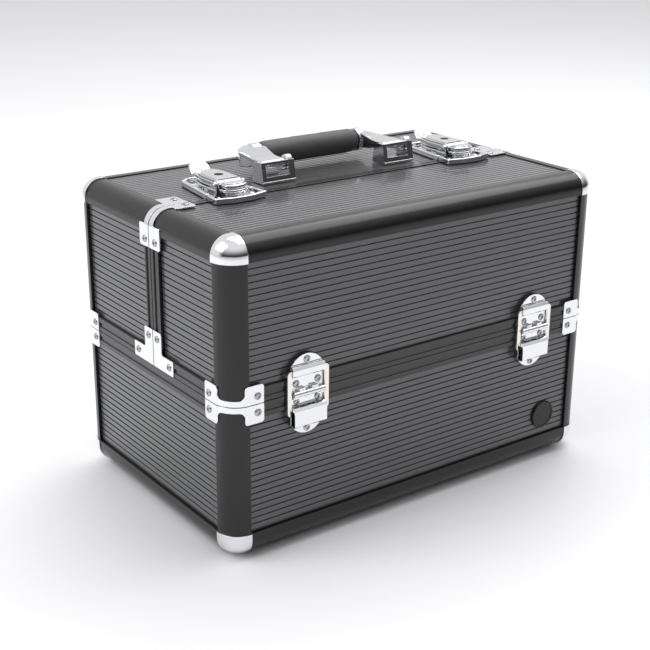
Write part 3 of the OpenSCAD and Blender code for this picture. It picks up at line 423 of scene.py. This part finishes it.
class Shape:
    """Collects closed shells, in millimetres, into one mesh."""

    def __init__(self, at=(0.0, 0.0, 0.0)):
        self.v, self.f, self.m, self.at = [], [], [], at

    def add(self, verts, faces, slot=0):
        n = len(self.v)
        ax, ay, az = self.at
        self.v += [((x + ax) * MM, (y + ay) * MM, (z + az) * MM) for x, y, z in verts]
        self.f += [tuple(n + i for i in f) for f in faces]
        self.m += [slot] * len(faces)

    def rings(self, rings, slot=0, caps=True):
        """Closed skin through rings of equal length."""
        k = len(rings[0])
        verts = [p for r in rings for p in r]
        faces = []
        for a in range(len(rings) - 1):
            for b in range(k):
                c = (b + 1) % k
                faces.append((a * k + b, a * k + c, (a + 1) * k + c, (a + 1) * k + b))
        if caps:
            for a, flip in ((0, True), (len(rings) - 1, False)):
                mid = [sum(p[i] for p in rings[a]) / k for i in range(3)]
                verts.append(tuple(mid))
                c0 = len(verts) - 1
                for b in range(k):
                    c = (b + 1) % k
                    faces.append((c0, a * k + c, a * k + b) if flip else (c0, a * k + b, a * k + c))
        self.add(verts, faces, slot)

    def turned(self, profile, centre, axis="x", seg=32, slot=0, arc=None):
        """Profile of (along, radius) turned round an axis through centre. The profile starts and ends on the axis."""
        rings = []
        for a, r in profile:
            ring = []
            for i in range(seg):
                t = 2 * math.pi * i / seg
                u, w = math.cos(t) * max(r, 0.004), math.sin(t) * max(r, 0.004)
                if axis == "x":
                    ring.append((centre[0] + a, centre[1] + u, centre[2] + w))
                elif axis == "z":
                    ring.append((centre[0] + u, centre[1] + w, centre[2] + a))
                else:
                    ring.append((centre[0] + w, centre[1] + a, centre[2] + u))
            rings.append(ring)
        self.rings(rings, slot)

    def slab(self, outline, axis, a, b, edge=0.4, seg=2, slot=0, low=None):
        """Flat plate: the outline pushed from a to b along an axis, with rounded rims (low: the rounding at a)."""
        def inset(d):
            n, out = len(outline), []
            for i in range(n):
                p, q, r = outline[i - 1], outline[i], outline[(i + 1) % n]
                e1 = (q[0] - p[0], q[1] - p[1])
                e2 = (r[0] - q[0], r[1] - q[1])
                l1, l2 = math.hypot(*e1) or 1, math.hypot(*e2) or 1
                n1, n2 = (-e1[1] / l1, e1[0] / l1), (-e2[1] / l2, e2[0] / l2)
                bx, by = n1[0] + n2[0], n1[1] + n2[1]
                lb = math.hypot(bx, by) or 1
                bx, by = bx / lb, by / lb
                c = max(0.35, bx * n1[0] + by * n1[1])
                out.append((q[0] + side * bx * d / c, q[1] + side * by * d / c))
            return out
        area2 = sum(outline[i - 1][0] * outline[i][1] - outline[i][0] * outline[i - 1][1] for i in range(len(outline)))
        side = 1 if area2 > 0 else -1
        rings = []
        turn = [math.pi / 2 * k / seg for k in range(seg + 1)]
        steps = [(edge * (1 - math.sin(t)), edge * (1 - math.cos(t))) for t in turn]
        low = edge if low is None else low
        for ins, up in [(low * (1 - math.sin(t)), low * (1 - math.cos(t))) for t in turn]:
            rings.append((a + up, inset(ins)))
        for ins, up in reversed(steps):
            rings.append((b - up, inset(ins)))
        place = {"x": lambda u, w, t: (t, u, w), "y": lambda u, w, t: (u, t, w), "z": lambda u, w, t: (u, w, t)}[axis]
        self.rings([[place(u, w, t) for u, w in ring] for t, ring in rings], slot)

    def hull(self, stations, steps=4, corner=4, end=1.0, slot=0, shape=None):
        """Body running along y: stations (y, x0, x1, z0, z1, r), eased between, both ends rounded."""
        rows = []
        n = len(stations)
        for i in range(n - 1):
            p0, p1, p2, p3 = (stations[max(0, i - 1)], stations[i], stations[i + 1], stations[min(n - 1, i + 2)])
            for k in range(steps):
                t = k / steps
                rows.append([0.5 * ((2 * b) + (c - a) * t + (2 * a - 5 * b + 4 * c - d) * t * t + (3 * b - a - 3 * c + d) * t ** 3)
                             for a, b, c, d in zip(p0, p1, p2, p3)])
        rows.append(list(stations[-1]))
        rings = []

        def ring(y, x0, x1, z0, z1, r, inn=0.0):
            x0, x1, z0, z1 = x0 + inn, x1 - inn, z0 + inn, z1 - inn
            r = max(0.05, min(r, (x1 - x0) / 2 - 0.01, (z1 - z0) / 2 - 0.01))
            pts = []
            for cx, cz, t0 in ((x1 - r, z1 - r, 0), (x0 + r, z1 - r, 90), (x0 + r, z0 + r, 180), (x1 - r, z0 + r, 270)):
                for k in range(corner + 1):
                    t = math.radians(t0 + 90 * k / corner)
                    pts.append((cx + r * math.cos(t), y, cz + r * math.sin(t)))
            return pts[::-1]

        ends = [(end * (1 - math.sin(t)), end * (1 - math.cos(t))) for t in [math.pi / 2 * k / 4 for k in range(5)]]
        y0, *q = rows[0]
        lim = min((q[1] - q[0]), (q[3] - q[2])) / 2 - 0.05
        for ins, up in ends[:-1]:
            rings.append(ring(y0 + up, *q, inn=min(ins, lim)))
        for y, *q in rows[1:-1]:
            if y0 + end < y < rows[-1][0] - end:
                rings.append(ring(y, *q))
        y1, *q = rows[-1]
        lim = min((q[1] - q[0]), (q[3] - q[2])) / 2 - 0.05
        for ins, up in reversed(ends[:-1]):
            rings.append(ring(y1 - up, *q, inn=min(ins, lim)))
        self.rings(rings, slot)

    def object(self, name, *mats, smooth=True, sharp=38):
        ob = mesh_object(name, self.v, self.f, None, smooth)
        for mt in mats:
            ob.data.materials.append(mt)
        ob.data.polygons.foreach_set("material_index", self.m)
        bm = bmesh.new()
        bm.from_mesh(ob.data)
        bmesh.ops.remove_doubles(bm, verts=bm.verts, dist=1e-7)
        bmesh.ops.recalc_face_normals(bm, faces=bm.faces)
        bm.to_mesh(ob.data)
        bm.free()
        if smooth:
            ob.data.set_sharp_from_angle(angle=math.radians(sharp))
            wn = ob.modifiers.new("even_shading", "WEIGHTED_NORMAL")
            wn.keep_sharp = True
            wn.weight = 80
        return ob


# ------------------------------------------------------------------ handle
LT = 247.0                      # height of the lid tops
HY, HZ = 15.4, LT + 12.0        # handle pivot
GY, GZ, GR = 50.0, LT + 13.4, 10.9
HX, HH = 4.0, 60.5
X_LEFT, X_RIGHT = HX - HH, HX + HH


def casting_hinge(s):
    """Knuckles on the pin, with the arms that carry them."""
    arm = [(HY, HZ - 1.4), (HY + 11.8, HZ - 1.3), (HY + 11.8, HZ + 4.6), (HY + 1, HZ + 4.6)]
    for x0, x1 in ((-11.55, -8.25), (7.05, 10.35)):
        w = x1 - x0
        c = 0.35
        s.turned([(0, 0), (0, 5.05 - c), (c * 0.3, 5.05 - c * 0.3), (c, 5.1), (w - c, 5.1), (w - c * 0.3, 5.05 - c * 0.3), (w, 5.05 - c), (w, 0)],
                 (x0, HY, HZ), "x", 36)
        s.slab(arm, "x", x0, x1, 0.3)


def casting_top(s, rows, inset_low=0.9):
    """Upper plate and, set in under it, the lower body, leaving a dark line between them."""
    s.hull([(y, x0, x1, max(z1 - 3.4, z0), z1, 0.9) for y, x0, x1, z0, z1 in rows], end=0.7, corner=4)
    low = [(y, x0 + inset_low, x1 - inset_low, z0, z1 - 2.6, 1.0) for y, x0, x1, z0, z1 in rows if y > 25.5]
    s.hull([(low[0][0] - 1.0, low[0][1], low[0][2], low[0][3] + 3, low[0][4], 1.0)] + low, end=0.7)


CURL = [(10.35, -11.3, 10.1, HZ + 1.6, HZ + 3.6), (11.3, -11.5, 10.3, HZ + 2.4, HZ + 4.5), (13.0, -11.5, 10.3, HZ + 3.0, HZ + 5.05),
        (16.0, -11.5, 10.3, HZ + 3.3, HZ + 5.15), (22.0, -11.5, 10.3, HZ + 3.3, HZ + 5.2)]
left = Shape((X_LEFT, 0, 0))
casting_hinge(left)
casting_top(left, CURL + [
    (26, -11.6, 10.4, HZ - 0.9, HZ + 5.5), (30, -12.1, 10.7, HZ - 2.8, HZ + 6.4), (35, -13.3, 11.5, HZ - 3.7, HZ + 7.5),
    (39, -14.3, 12.2, HZ - 4.2, HZ + 8.3), (42, -14.3, 12.9, HZ - 4.5, HZ + 8.8), (46, -11.6, 12.2, HZ - 4.5, HZ + 9.1), (50, -6.8, 10.9, HZ - 4.5, HZ + 9.1),
    (54, -2.6, 10.2, HZ - 3.9, HZ + 8.9), (57.5, 1.0, 9.9, HZ - 2.6, HZ + 8.3), (60.0, 4.2, 9.6, HZ - 0.6, HZ + 6.9)])
left.turned([(0, 0), (0, 7.8), (0.5, 8.8), (1.4, 9.3), (7.6, 9.35), (8.3, 9.15), (8.5, 8.7), (8.5, 0)], (2.0, GY, GZ), "x", 48)
right = Shape((X_RIGHT, 0, 0))
casting_hinge(right)
casting_top(right, CURL + [
    (26, -11.7, 8.6, HZ - 0.9, HZ + 5.5), (30, -12.0, 5.4, HZ - 2.8, HZ + 6.3), (34, -12.2, 2.2, HZ - 3.6, HZ + 7.2),
    (38, -12.3, -0.4, HZ - 4.1, HZ + 8.0), (42, -12.3, -2.4, HZ - 4.4, HZ + 8.6), (46, -12.3, -3.8, HZ - 4.5, HZ + 8.9), (50, -12.2, -4.9, HZ - 4.3, HZ + 8.7),
    (53, -11.9, -5.6, HZ - 3.6, HZ + 8.0), (55.4, -11.2, -6.4, HZ - 1.6, HZ + 6.6)], 1.0)
right.turned([(0, 0), (0, 8.6), (0.35, 9.4), (1.0, 9.8), (5.3, 9.8), (6.1, 9.4), (6.5, 8.6), (6.6, 7.2), (10, 7.2), (10, 0)], (-13.5, GY, GZ), "x", 48)
castings = Shape()
castings.v, castings.f, castings.m = left.v + right.v, left.f + [tuple(i + len(left.v) for i in f) for f in right.f], left.m + right.m
handle_castings = castings.object("handle_castings", CAST)
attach(handle_castings, "handle")
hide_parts("handle_ends")

# ------------------------------------------------------------------ padded grip
g0, g1 = (X_LEFT + 10.6) * MM, (X_RIGHT - 13.5) * MM


def grip_mesh():
    """A slightly slimmer sleeve than its final form, with a shallow finger swell; the cloth step plumps it."""
    n, seg, rings = 54, 44, []
    for i in range(n + 1):
        t = i / n
        x = g0 + (g1 - g0) * t
        end = min(t, 1 - t) * (g1 - g0)
        r = GR * MM * (0.905 + 0.02 * math.sin(math.pi * t))
        r *= (1.0 - 0.13 * max(0.0, 1 - end / 0.008) ** 1.8) * (1.0 - 0.12 * max(0.0, 1 - end / 0.0014) ** 2)
        rings.append([(x, GY * MM + r * math.cos(2 * math.pi * k / seg), GZ * MM + r * math.sin(2 * math.pi * k / seg)) for k in range(seg)])
    verts = [p for r in rings for p in r]
    faces = [(a * seg + b, a * seg + (b + 1) % seg, (a + 1) * seg + (b + 1) % seg, (a + 1) * seg + b) for a in range(n) for b in range(seg)]
    for a, flip in ((0, True), (n, False)):
        verts.append((rings[a][0][0], GY * MM, GZ * MM))
        c0 = len(verts) - 1
        for b in range(seg):
            q = (a * seg + (b + 1) % seg, a * seg + b)
            faces.append((c0, *q) if flip else (c0, q[1], q[0]))
    return mesh_object("padded_grip", verts, faces, LEATHER, True)


grip = grip_mesh()
bm = bmesh.new()
bm.from_mesh(grip.data)
bmesh.ops.recalc_face_normals(bm, faces=bm.faces)
bm.to_mesh(grip.data)
bm.free()
start = [v.co.copy() for v in grip.data.vertices]
md = grip.modifiers.new("swell", "CLOTH")
md.settings.quality = 5
md.settings.mass = 0.1
md.settings.tension_stiffness = md.settings.compression_stiffness = 25
md.settings.bending_stiffness = 2.0
md.settings.use_pressure = True
md.settings.uniform_pressure_force = 4.0
md.settings.effector_weights.gravity = 0.0
md.point_cache.frame_start, md.point_cache.frame_end = 1, 20
pins = grip.vertex_groups.new(name="held")
held = [v.index for v in grip.data.vertices if min(v.co.x - g0, g1 - v.co.x) < 0.0006]
pins.add(held, 1.0, "REPLACE")
md.settings.vertex_group_mass = "held"
for f in range(1, 21):
    SCENE.frame_set(f)
dg = bpy.context.evaluated_depsgraph_get()
ev = grip.evaluated_get(dg)
end_pos = [v.co.copy() for v in ev.data.vertices]
grip.modifiers.remove(md)
SCENE.frame_set(1)
for v, a, b in zip(grip.data.vertices, start, end_pos):
    d = b - a
    if d.length > 0.0009:
        d *= 0.0009 / d.length
    v.co = a + d
# after the cloth step: soft creases, the sewn seam along the underside, and the swell held to the grip radius
for v in grip.data.vertices:
    ang = math.atan2(v.co.z - GZ * MM, v.co.y - GY * MM)
    rad = Vector((0, v.co.y - GY * MM, v.co.z - GZ * MM))
    if rad.length < 1e-6:
        continue
    n3 = noise.noise(Vector((v.co.x * 95, math.cos(ang) * 1.3, math.sin(ang) * 1.3 + 4)))
    n4 = noise.noise(Vector((v.co.x * 380, math.cos(ang) * 2.6, math.sin(ang) * 2.6 + 9)))
    seam = math.exp(-((ang + math.pi / 2) / 0.10) ** 2)
    d = 0.00022 * n3 + 0.00008 * n4 - 0.00055 * seam
    v.co += rad.normalized() * d
    over = math.hypot(v.co.y - GY * MM, v.co.z - GZ * MM) - GR * MM
    if over > 0:
        v.co -= rad.normalized() * over
sub = grip.modifiers.new("smooth", "SUBSURF")
sub.levels = sub.render_levels = 1
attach(grip, "handle")
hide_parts("handle_grip")

stitch = Shape()
for i in range(34):
    x = g0 / MM + 4.0 + i * 2.55
    if x + 1.6 > g1 / MM - 3:
        break
    for side in (-1, 1):
        stitch.slab([(x, GY + side * 1.5 - 0.22), (x + 1.6, GY + side * 1.5 - 0.22), (x + 1.6, GY + side * 1.5 + 0.22), (x, GY + side * 1.5 + 0.22)],
                    "z", GZ - GR - 0.02, GZ - GR + 0.5, 0.12)
grip_stitches = stitch.object("grip_stitches", CLOTH)
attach(grip_stitches, "handle")

# ------------------------------------------------------------------ latch plates
LY, LZ = -5.5, LT + 9.6
LATCHES = (-109.5, 118.0)


def both(pts):
    """The outline and its mirror image across the middle of the latch."""
    return [pts, [(-x, y) for x, y in pts][::-1]]


def tower(w, d, r, n=14):
    cy = -9.2 - d + r
    return [(-w + 2 * w * i / n, cy - math.sqrt(r * r - (-w + 2 * w * i / n) ** 2)) for i in range(n + 1)] + [(w, -9.2), (-w, -9.2)]


def strike(s):
    """Plate on the front half: thick rolled rim and the stepped round catch tower."""
    s.slab([(-21.3, -9.4), (-23.0, -21.8), (-22.0, -23.8), (-9, -27.4), (0, -28.0), (9, -27.4), (22.0, -23.8), (23.0, -21.8), (21.3, -9.4)], "z", LT, LT + 1.5, 0.2, low=0.1)
    for q in both([(-22.2, -23.9), (-9.0, -27.6), (-8.4, -24.6), (-19.8, -21.2)]):
        s.slab(q, "z", LT, LT + 4.2, 0.9, 3, low=0.15)
    s.slab([(-9.2, -27.55), (0, -28.2), (9.2, -27.55), (8.5, -24.55), (0, -25.1), (-8.5, -24.55)], "z", LT, LT + 4.2, 0.9, 3, low=0.15)
    for q in both([(-23.1, -21.6), (-22.2, -23.8), (-19.8, -22.2), (-18.0, -9.4), (-21.4, -9.4)]):
        s.slab(q, "z", LT, LT + 4.2, 1.0, 4, low=0.15)
    for a, b, q, e in ((1.3, 11.2, tower(8.2, 9.4, 14), 0.3), (5.4, 7.6, tower(11, 11.6, 15), 0.7), (8.2, 11.0, tower(9.8, 10.8, 15), 0.8), (10.8, 12.1, tower(8.4, 9.2, 13), 0.4)):
        s.slab(q, "z", LT + a, LT + b, e, 3)
    for x in (-14.6, 14.6):
        s.turned([(0, 0), (0, 2.2), (0.35, 2.15), (0.75, 1.6), (0.85, 1.1), (0.6, 0.8), (0.5, 0)], (x, -15.2, LT + 1.45), "z", 24)


def base(s):
    """Plate on the rear half: rolled rim, slotted body under the lever and the two cheeks with their pin."""
    s.slab([(-21, -7.6), (21, -7.6), (17.6, 21), (15.2, 39), (13, 42.4), (7, 46), (-7, 46), (-13, 42.4), (-15.2, 39), (-17.6, 21)], "z", LT, LT + 1.4, 0.2, low=0.1)
    for q in both([(-21.1, -7.6), (-15.3, 39.0), (-12.2, 38.6), (-17.8, -7.6)]) + both([(-15.3, 38.8), (-13.0, 42.5), (-10.6, 40.2), (-12.2, 38.2)]) \
            + both([(-13.1, 42.3), (-7.0, 46.0), (-6.2, 43.0), (-10.7, 40.1)]):
        s.slab(q, "z", LT, LT + 4.2, 1.0, 4, low=0.15)
    s.slab([(-7.1, 46), (7.1, 46), (6.3, 43), (-6.3, 43)], "z", LT, LT + 4.2, 1.0, 4, low=0.15)
    body = [(-13, -1), (13, -1), (13, 16), (9, 30), (-9, 30), (-13, 16)]
    s.slab(body, "z", LT + 1.2, LT + 2.7, 0.3)
    s.slab([(x * 0.87, y * 0.95 + 0.8) for x, y in body], "z", LT + 2.5, LT + 4.9, 0.1)
    s.slab(body, "z", LT + 4.6, LT + 6.1, 0.35)
    for y0, y1, x0, x1 in ((-0.8, 3.0, 9.6, 12.9), (14.6, 17.4, 9.2, 12.6)):
        for q in both([(x0, y0), (x1, y0), (x1, y1), (x0, y1)]):
            s.slab(q, "z", LT + 2.5, LT + 4.9, 0.15)
    arc = [(LY + 2.1 * math.cos(math.radians(t)), LZ + 2.1 * math.sin(math.radians(t))) for t in range(0, 181, 15)]
    for x0 in (-13.4, 11.6):
        s.slab(arc + [(LY - 2.1, LT + 1.3), (4, LT + 1.3), (2.4, LT + 6)], "x", x0, x0 + 1.8, 0.25)
    for x0, d in ((-13.4, -1), (13.4, 1)):
        s.turned([(0, 0), (0, 1.1), (d * 0.3, 1.0), (d * 0.45, 0.6), (d * 0.45, 0)], (x0, LY, LZ), "x", 20)
    s.turned([(0, 0), (0, 1.1), (26.6, 1.1), (26.6, 0)], (-13.3, LY, LZ), "x", 20)
    s.turned([(0, 0), (0, 2.0), (0.35, 1.95), (0.7, 1.4), (0.8, 0.9), (0.55, 0.7), (0.45, 0)], (0, 36.5, LT + 1.35), "z", 24)


for piece, body, stands_for, make in (("latch_strike_cast", "front_lid", "front_latch_strikes", strike), ("latch_base_cast", "rear_lid", "rear_latch_bases", base)):
    plates = Shape()
    for x in LATCHES:
        plates.at = (x, 0, 0)
        make(plates)
    ob = plates.object(piece, CAST)
    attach(ob, body)
    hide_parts(stands_for)

# ------------------------------------------------------------------ latch levers


def lever(name, x, body):
    s = Shape((x, 0, 0))
    # hinge nose
    s.hull([
        (-8.35, -10.7, 10.7, LZ - 1.4, LZ + 1.1, 1.0), (-7.6, -10.9, 10.9, LZ - 2.3, LZ + 1.9, 0.9), (-6.2, -10.95, 10.95, LZ - 2.85, LZ + 2.4, 0.7),
        (-4.5, -10.95, 10.95, LZ - 2.9, LZ + 2.45, 0.6), (-2.0, -10.95, 10.95, LZ - 2.9, LZ + 2.3, 0.6)], end=0.7, steps=3)
    # body of three stacked plates, each a little smaller than the one below
    s.slab([(-10.9, -4.0), (10.9, -4.0), (10.9, 14.5), (9.3, 24.0), (7.4, 31.0), (-7.4, 31.0), (-9.3, 24.0), (-10.9, 14.5)], "z", LZ - 2.9, LZ + 0.9, 0.45)
    s.slab([(-10.2, -5.6), (10.2, -5.6), (10.4, 14.0), (8.9, 23.6), (6.6, 31.0), (-6.6, 31.0), (-8.9, 23.6), (-10.4, 14.0)], "z", LZ + 0.5, LZ + 2.75, 0.35)
    s.slab([(-8.6, -4.1), (8.6, -4.1), (9.2, -3.2), (9.3, 12.5), (8.0, 21.6), (4.9, 28.2), (-4.9, 28.2), (-8.0, 21.6), (-9.3, 12.5), (-9.2, -3.2)], "z", LZ + 2.5, LZ + 3.85, 0.45)
    # neck, and the thumb tab standing up from its end and leaning back
    s.hull([
        (24, -8.2, 8.2, LZ - 2.7, LZ + 2.6, 0.7), (28, -7.6, 7.6, LZ - 2.2, LZ + 2.65, 0.7), (32, -7.0, 7.0, LZ - 1.6, LZ + 2.4, 0.7),
        (35.5, -6.8, 6.8, LZ - 1.2, LZ + 1.2, 0.7), (38.0, -6.6, 6.6, LZ - 0.9, LZ + 0.9, 0.8)], end=0.7, steps=3)
    n = len(s.v)
    s.slab([(-8.6, LZ - 0.6), (8.6, LZ - 0.6), (9.0, LZ + 0.4), (8.4, LZ + 4.4), (7.0, LZ + 6.6), (4.8, LZ + 7.3), (-4.8, LZ + 7.3), (-7.0, LZ + 6.6), (-8.4, LZ + 4.4), (-9.0, LZ + 0.4)],
           "y", 33.2, 36.3, 0.9, 3)
    for i in range(n, len(s.v)):
        vx, vy, vz = s.v[i]
        s.v[i] = (vx, vy + 0.86 * (vz - LZ * MM), vz)
    # lock: barrel, its lip and slit, painted near-black as the shade of the keyhole
    s.turned([(0, 0), (0, 3.75), (0.10, 3.75), (0.16, 3.6), (0.16, 3.1), (0.08, 2.9), (0.08, 0)], (0, 8.6, LZ + 3.8), "z", 36, slot=1)
    s.slab([(-0.4, 6.4), (0.4, 6.4), (0.4, 10.8), (-0.4, 10.8)], "z", LZ + 3.8, LZ + 4.0, 0.08, slot=1)
    # spring and rivet under the body, seen from the side
    s.turned([(0, 0), (0, 1.6), (0.4, 1.9), (3.0, 1.9), (3.4, 1.5), (3.4, 0)], (0, 26, LZ - 3.4), "z", 20)
    ob = s.object(name + "_cast", CAST, KEYHOLE_PAINTED_SHADE)
    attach(ob, body)
    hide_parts(name)
    return ob


lever("latch_lever_left", LATCHES[0], "latch_lever_left")
lever("latch_lever_right", LATCHES[1], "latch_lever_right")

# ------------------------------------------------------------------ floor and light
ft = Tree("studio_floor").set(Specular_IOR_Level=0.3)
ft.base(ft.mix(ft.noise(3.0, 3.0, 0.5), (0.79, 0.79, 0.802), (0.81, 0.81, 0.822)))
ft.rough(ft.rng(ft.noise(40.0, 3.0, 0.5), 0.55, 0.65))
floor = mesh_object("studio_floor", [(-14, -14, 0), (14, -14, 0), (14, 14, 0), (-14, 14, 0)], [(0, 1, 2, 3)], ft.mat)

world = bpy.data.worlds.new("studio")
SCENE.world = world
world.use_nodes = True
wt = world.node_tree
bg = wt.nodes["Background"]
bg.inputs[0].default_value = (0.985, 0.985, 1.0, 1)
# even surrounding light, falling off smoothly to the unlit room low in front of the box
wco = wt.nodes.new("ShaderNodeTexCoord").outputs["Generated"]


def wnode(kind, **kw):
    n = wt.nodes.new(kind)
    for k, v in kw.items():
        setattr(n, k, v)
    return n


def wrange(sock, a, b, lo, hi, smooth=True):
    r = wnode("ShaderNodeMapRange", interpolation_type="SMOOTHSTEP" if smooth else "LINEAR")
    wt.links.new(sock, r.inputs["Value"])
    for k, v in (("From Min", a), ("From Max", b), ("To Min", lo), ("To Max", hi)):
        r.inputs[k].default_value = v
    return r.outputs[0]


def wmath(op, a, b):
    mt = wnode("ShaderNodeMath", operation=op)
    for i, v in enumerate((a, b)):
        if hasattr(v, "links"):
            wt.links.new(v, mt.inputs[i])
        else:
            mt.inputs[i].default_value = v
    return mt.outputs[0]


sepz = wnode("ShaderNodeSeparateXYZ")
wt.links.new(wco, sepz.inputs[0])
front = wmath("MULTIPLY", wrange(sepz.outputs[2], 0.10, 0.80, 1.0, 0.0), wrange(sepz.outputs[1], -0.25, 0.25, 1.0, 0.0))
level = wmath("MULTIPLY", wmath("SUBTRACT", 1.0, wmath("MULTIPLY", front, FRONT)), WORLD)
wt.links.new(level, bg.inputs[1])


def area(name, loc, target, size, power, size_y=None, color=(1, 1, 1)):
    li = bpy.data.lights.new(name, "AREA")
    li.shape = "RECTANGLE"
    li.size, li.size_y = size, size_y or size
    li.energy = power
    li.color = color
    ob = link(bpy.data.objects.new(name, li))
    ob.location = loc
    ob.rotation_euler = (Vector(target) - Vector(loc)).to_track_quat("-Z", "Y").to_euler()
    return ob


area("softbox_left", (-1.75, 0.35, 1.75), (0, 0, 0.12), 1.6, 24)
area("softbox_top", (1.0, 0.25, 2.2), (0, 0, 0.1), 2.2, 38)
